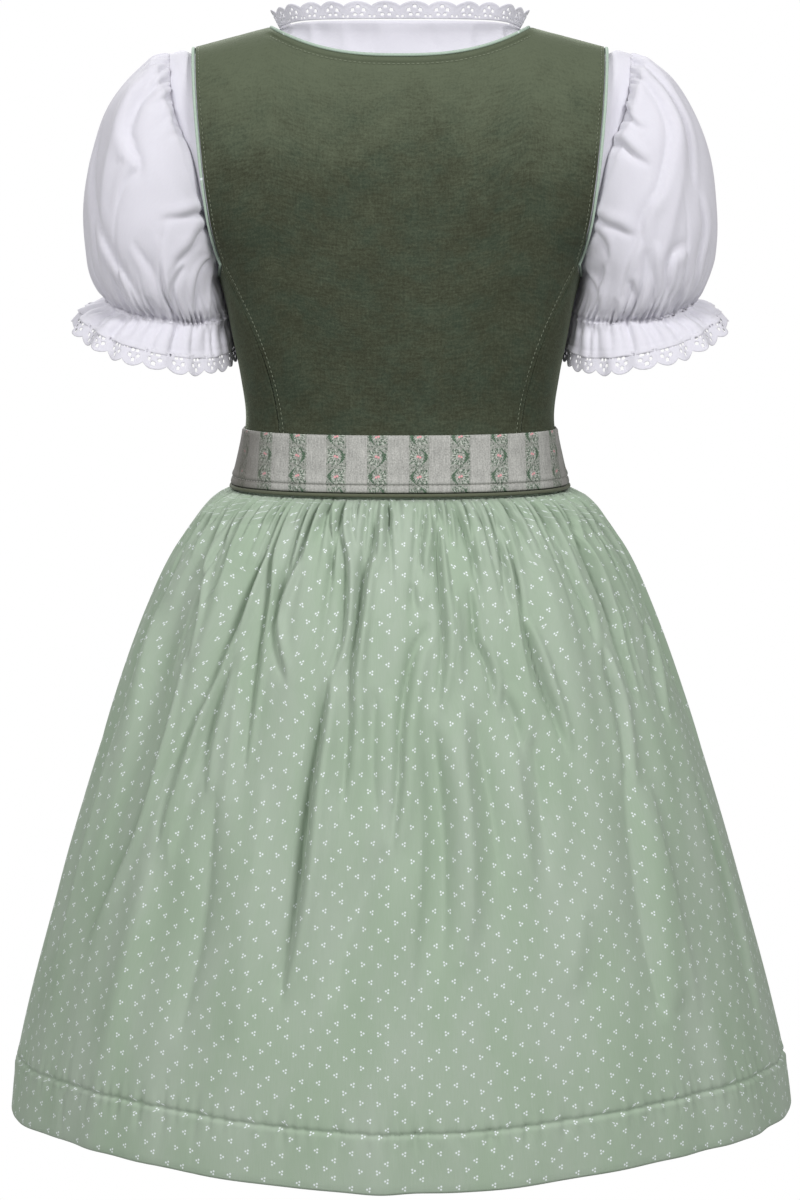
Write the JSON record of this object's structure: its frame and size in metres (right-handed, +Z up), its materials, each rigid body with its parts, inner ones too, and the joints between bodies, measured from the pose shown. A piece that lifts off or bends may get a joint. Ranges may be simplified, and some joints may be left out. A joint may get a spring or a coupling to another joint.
{
  "type": "dirndl dress set",
  "caption": "Girl's dirndl set as worn: velveteen bodice on a gathered skirt, white blouse with puff sleeves and eyelet lace, striped apron tied in front.",
  "frame": {"origin": "on the centre line, level with the neck ends of the shoulder seams, where the wearer's shoulders carry the set", "axes": "+Z up, the wearer faces -Y, the wearer's left is +X"},
  "size_m": [0.5408, 0.4197, 0.7592],
  "materials": {
    "green_velveteen": "cut pile, matt",
    "mint_piping": "printed cotton cord cover",
    "green_piping": "matt cotton cord cover",
    "sage_cotton": "plain weave with a small white print",
    "striped_apron_cloth": "woven stripes, slight sheen",
    "white_cotton": "plain weave, matt",
    "white_lace": "eyelet embroidery on cotton",
    "button_metal": "dull silver"
  },
  "bodies": {
    "root": {"bodice_back": "green_velveteen", "bodice_front_left": "green_velveteen", "bodice_front_right": "green_velveteen", "bodice_side_back_left": "green_velveteen", "bodice_side_back_right": "green_velveteen", "bodice_side_front_left": "green_velveteen", "bodice_side_front_right": "green_velveteen", "neck_piping": "mint_piping", "armhole_piping_left": "mint_piping", "armhole_piping_right": "mint_piping", "waist_piping": "green_piping", "skirt_back": "sage_cotton", "skirt_front": "sage_cotton", "apron_band": "striped_apron_cloth", "apron_panel": "striped_apron_cloth", "bow_knot": "striped_apron_cloth", "bow_loop_left": "striped_apron_cloth", "bow_loop_right": "striped_apron_cloth", "bow_tail_left": "striped_apron_cloth", "bow_tail_right": "striped_apron_cloth", "blouse_back": "white_cotton", "blouse_front": "white_cotton", "blouse_neckband": "white_cotton", "sleeve_left": "white_cotton", "sleeve_right": "white_cotton", "neck_lace": "white_lace", "sleeve_lace_left": "white_lace", "sleeve_lace_right": "white_lace", "button_1": "button_metal", "button_2": "button_metal", "button_3": "button_metal", "button_4": "button_metal", "button_5": "button_metal"}
  },
  "joints": []
}
